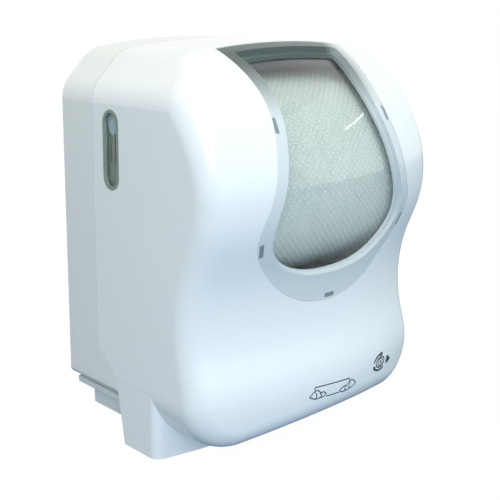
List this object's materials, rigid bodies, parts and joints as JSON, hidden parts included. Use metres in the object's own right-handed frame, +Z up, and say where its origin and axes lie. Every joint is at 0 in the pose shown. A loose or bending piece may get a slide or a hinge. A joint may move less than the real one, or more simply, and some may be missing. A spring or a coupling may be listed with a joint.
{
  "type": "wall roll-towel dispenser",
  "caption": "Hands-free roll-towel dispenser: a wall housing and hinged cover with a curved window over a roll on sprung arms and a feed-and-cut drum.",
  "frame": {"origin": "middle of the four wall bolt holes, on the wall", "axes": "+X the viewer's right across the face, -Y out of the wall towards the viewer, +Z up"},
  "size_m": [0.2976, 0.2249, 0.368],
  "materials": {
    "housing_white": "satin",
    "cover_white": "gloss",
    "frame_grey": "gloss",
    "clip_grey": "satin",
    "clear_lens": "gloss",
    "bezel_grey": "gloss",
    "steel": "satin",
    "spring_steel": "satin",
    "plated_metal": "gloss",
    "chassis_grey": "matte",
    "drum_dark": "matte",
    "grip_rubber": "matte",
    "acetal_white": "satin",
    "arm_white": "satin",
    "paper": "matte",
    "core_card": "matte"
  },
  "bodies": {
    "cabinet": {"rear_housing": "housing_white", "arm_pins": "steel", "strike_pin": "steel", "hinge_pins": "steel", "chassis_side_left": "chassis_grey", "chassis_side_right": "chassis_grey", "chassis_back": "chassis_grey", "chassis_screws": "steel", "drum_bearings": "acetal_white", "chute_lower": "chassis_grey", "chute_upper": "chassis_grey", "paper_web": "paper", "spring_cup": "chassis_grey", "return_spring": "spring_steel", "knife_cam": "acetal_white", "pinch_rod": "steel", "pinch_coils": "spring_steel", "pawl_pin": "steel"},
    "cover": {"cover_shell": "cover_white", "window_frame": "frame_grey", "frame_clips": "clip_grey", "window_lens": "clear_lens", "side_bezel_left": "bezel_grey", "side_bezel_right": "bezel_grey", "side_lens_left": "clear_lens", "side_lens_right": "clear_lens", "lock_body": "plated_metal", "lock_nut": "plated_metal"},
    "lock": {"lock_barrel": "plated_metal", "lock_cam": "plated_metal", "lock_screw": "steel"},
    "arm_left": {"roll_arm_left": "arm_white", "hub_axle_left": "steel"},
    "arm_right": {"roll_arm_right": "arm_white", "hub_axle_right": "steel"},
    "hub_left": {"roll_hub_left": "acetal_white"},
    "hub_right": {"roll_hub_right": "acetal_white"},
    "roll": {"towel_roll": "paper", "roll_core": "core_card"},
    "drum": {"drum_shell_upper": "drum_dark", "drum_shell_lower": "drum_dark", "drum_ends": "drum_dark", "drum_shaft": "steel", "grip_bands": "grip_rubber", "feed_wheel": "acetal_white", "ratchet_wheel": "acetal_white"},
    "knife": {"knife_carrier": "acetal_white", "knife_blade": "spring_steel"},
    "pinch_frame": {"pinch_arm_left": "acetal_white", "pinch_arm_right": "acetal_white", "pinch_spreader": "steel"},
    "pinch_roller_set": {"pinch_shaft": "steel", "pinch_rollers": "grip_rubber"},
    "pawl": {"pawl": "acetal_white"},
    "transfer": {"transfer_bar": "acetal_white"}
  },
  "joints": [
    {"name": "cover_swing", "type": "hinge", "parent": "cabinet", "child": "cover", "pos_m": [0, -0.093, -0.146], "axis": [1, 0, 0], "range_deg": [0, 80]},
    {"name": "lock_turn", "type": "hinge", "parent": "cover", "child": "lock", "pos_m": [0.14, -0.066, 0.02], "axis": [1, 0, 0], "range_deg": [-90, 0]},
    {"name": "arm_left_swing", "type": "hinge", "parent": "cabinet", "child": "arm_left", "pos_m": [-0.106, -0.013, 0.062], "axis": [0, 0, -1], "range_deg": [0, 8], "stiffness_Nm_per_rad": 6, "springref_deg": -5.73},
    {"name": "arm_right_swing", "type": "hinge", "parent": "cabinet", "child": "arm_right", "pos_m": [0.106, -0.013, 0.062], "axis": [0, 0, 1], "range_deg": [0, 8], "stiffness_Nm_per_rad": 6, "springref_deg": -5.73},
    {"name": "drum_turn", "type": "hinge", "parent": "cabinet", "child": "drum", "pos_m": [0, -0.1, -0.088], "axis": [1, 0, 0], "continuous": true},
    {"name": "knife_swing", "type": "hinge", "parent": "drum", "child": "knife", "pos_m": [0, -0.12, -0.058], "axis": [1, 0, 0], "range_deg": [0, 14], "stiffness_Nm_per_rad": 1, "springref_deg": -11.46},
    {"name": "roll_spin", "type": "hinge", "parent": "cabinet", "child": "roll", "pos_m": [0, -0.115, 0.062], "axis": [1, 0, 0], "continuous": true},
    {"name": "hub_left_spin", "type": "hinge", "parent": "arm_left", "child": "hub_left", "pos_m": [-0.098, -0.115, 0.062], "axis": [1, 0, 0], "continuous": true},
    {"name": "hub_right_spin", "type": "hinge", "parent": "arm_right", "child": "hub_right", "pos_m": [0.098, -0.115, 0.062], "axis": [1, 0, 0], "continuous": true},
    {"name": "pinch_lift", "type": "hinge", "parent": "cabinet", "child": "pinch_frame", "pos_m": [0, -0.028, -0.096], "axis": [1, 0, 0], "range_deg": [0, 6], "stiffness_Nm_per_rad": 4, "springref_deg": -8.59},
    {"name": "pinch_turn", "type": "hinge", "parent": "pinch_frame", "child": "pinch_roller_set", "pos_m": [0, -0.05107, -0.11625], "axis": [1, 0, 0], "continuous": true},
    {"name": "pawl_swing", "type": "hinge", "parent": "cabinet", "child": "pawl", "pos_m": [0.11425, -0.052, -0.058], "axis": [-1, 0, 0], "range_deg": [0, 10], "stiffness_Nm_per_rad": 0.1, "springref_deg": -11.46},
    {"name": "transfer_swing", "type": "hinge", "parent": "cabinet", "child": "transfer", "pos_m": [0, -0.016, -0.04], "axis": [-1, 0, 0], "range_deg": [0, 10]}
  ],
  "couplings": [
    {"joint": "roll_spin", "follows": "drum_turn", "ratio": 0.50262},
    {"joint": "hub_left_spin", "follows": "drum_turn", "ratio": 0.50262},
    {"joint": "hub_right_spin", "follows": "drum_turn", "ratio": 0.50262},
    {"joint": "pinch_turn", "follows": "drum_turn", "ratio": -5.8537}
  ]
}
